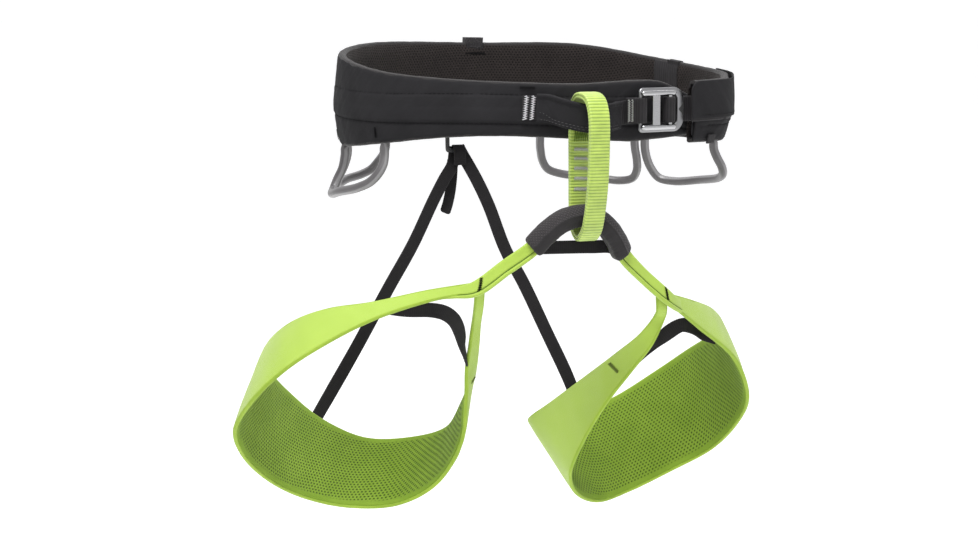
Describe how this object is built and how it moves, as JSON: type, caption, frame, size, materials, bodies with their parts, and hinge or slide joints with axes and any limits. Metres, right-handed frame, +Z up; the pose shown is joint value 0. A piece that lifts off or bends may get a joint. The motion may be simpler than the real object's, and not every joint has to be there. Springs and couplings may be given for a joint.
{
  "type": "climbing harness",
  "caption": "Sport climbing harness: padded waist belt with front buckle, lime belay loop, two leg loops on a webbing bridge, elastic rear risers and tube gear loops.",
  "frame": {"origin": "inside the waist ring, on the belay loop's plane, level with the tie-in strap", "axes": "+Z up, -Y the way the wearer faces, +X the wearer's left"},
  "size_m": [0.3877, 0.2666, 0.3323],
  "materials": {
    "black_shell": "fine woven nylon, matt",
    "black_liner": "open spacer mesh, matt",
    "black_web": "tight webbing and elastic, matt",
    "foam": "closed-cell foam inside the belt",
    "lime": "smooth tight weave, satin",
    "lime_mesh": "dotted spacer mesh, matt",
    "lime_web": "ribbed nylon webbing",
    "thread": "polyester stitching thread",
    "gear": "satin moulded tube",
    "metal": "bead-blasted frame, polished rolled edges",
    "hook": "moulded hook"
  },
  "bodies": {
    "waist": {"belt_outer_shell": "black_shell", "belt_foam": "foam", "belt_mesh_liner": "black_liner", "belt_structural_webbing": "black_web", "belt_upper_binding": "black_web", "belt_lower_binding": "black_web", "belt_end_sleeve": "black_shell", "belt_back_loop": "black_web", "liner_end_tab": "black_web", "tie_in_strap": "black_web", "tie_in_wear_sleeve": "black_shell", "buckle_tab_webbing": "black_web", "adjuster_tail": "black_web", "hook_hanger": "black_web", "riser_hook": "hook", "riser_yoke": "black_web", "riser_right": "black_web", "riser_left": "black_web"},
    "belay": {"belay_loop": "lime_web"},
    "legs": {"bridge_sleeve": "black_shell", "bridge_webbing": "lime_web", "bridge_cross_strap": "black_web"},
    "leg_right": {"leg_right_shell": "lime", "leg_right_liner": "lime_mesh", "leg_right_upper_binding": "lime", "leg_right_lower_binding": "lime", "leg_right_elastic": "black_web"},
    "leg_left": {"leg_left_shell": "lime", "leg_left_liner": "lime_mesh", "leg_left_upper_binding": "lime", "leg_left_lower_binding": "lime", "leg_left_elastic": "black_web"},
    "buckle": {"buckle_frame": "metal", "buckle_plate": "metal", "adjuster_bight": "black_web"},
    "riser_tail": {"riser_tail": "black_web"},
    "gear_loop_front_right": {"gear_loop_front_right": "gear"},
    "gear_loop_rear_right": {"gear_loop_rear_right": "gear"},
    "gear_loop_front_left": {"gear_loop_front_left": "gear"},
    "gear_loop_rear_left": {"gear_loop_rear_left": "gear"}
  },
  "joints": [
    {"name": "legs_swing", "type": "hinge", "parent": "waist", "child": "legs", "pos_m": [0, -0.126, -0.008], "axis": [-1, 0, 0], "range_deg": [0, 20], "stiffness_Nm_per_rad": 2, "springref_deg": -5.16, "deforming": ["riser_right", "riser_left"]},
    {"name": "belay_swing", "type": "hinge", "parent": "waist", "child": "belay", "pos_m": [0, -0.126, -0.008], "axis": [-1, 0, 0], "range_deg": [0, 20]},
    {"name": "leg_right_roll", "type": "hinge", "parent": "legs", "child": "leg_right", "pos_m": [-0.0695, -0.1132, -0.1188], "axis": [-0.2971, 0.8062, -0.5116], "range_deg": [-8, 15]},
    {"name": "leg_left_roll", "type": "hinge", "parent": "legs", "child": "leg_left", "pos_m": [0.0605, -0.114, -0.13], "axis": [-0.0489, -0.8902, 0.4528], "range_deg": [-8, 15]},
    {"name": "buckle_tilt", "type": "hinge", "parent": "waist", "child": "buckle", "pos_m": [0.044, -0.11292, -0.0063], "axis": [0, 0, -1], "range_deg": [0, 12], "deforming": ["adjuster_bight"]},
    {"name": "gear_front_right_swing", "type": "hinge", "parent": "waist", "child": "gear_loop_front_right", "pos_m": [-0.10987, -0.03982, -0.03188], "axis": [-0.0834, 0.9941, -0.0698], "range_deg": [-5, 40]},
    {"name": "gear_rear_right_swing", "type": "hinge", "parent": "waist", "child": "gear_loop_rear_right", "pos_m": [-0.0665, 0.08001, -0.0365], "axis": [0.7196, 0.6944, 0.0017], "range_deg": [-5, 40]},
    {"name": "gear_front_left_swing", "type": "hinge", "parent": "waist", "child": "gear_loop_front_left", "pos_m": [0.14778, -0.01664, -0.03644], "axis": [0.2616, -0.9651, 0.0065], "range_deg": [-3, 40]},
    {"name": "gear_rear_left_swing", "type": "hinge", "parent": "waist", "child": "gear_loop_rear_left", "pos_m": [0.06102, 0.09527, -0.03577], "axis": [0.8758, -0.4824, -0.0144], "range_deg": [-3, 40]},
    {"name": "riser_tail_swing", "type": "hinge", "parent": "waist", "child": "riser_tail", "pos_m": [0, 0.12, -0.052], "axis": [1, 0, 0], "range_deg": [-10, 30]}
  ],
  "couplings": [
    {"joint": "belay_swing", "follows": "legs_swing", "ratio": 1}
  ]
}
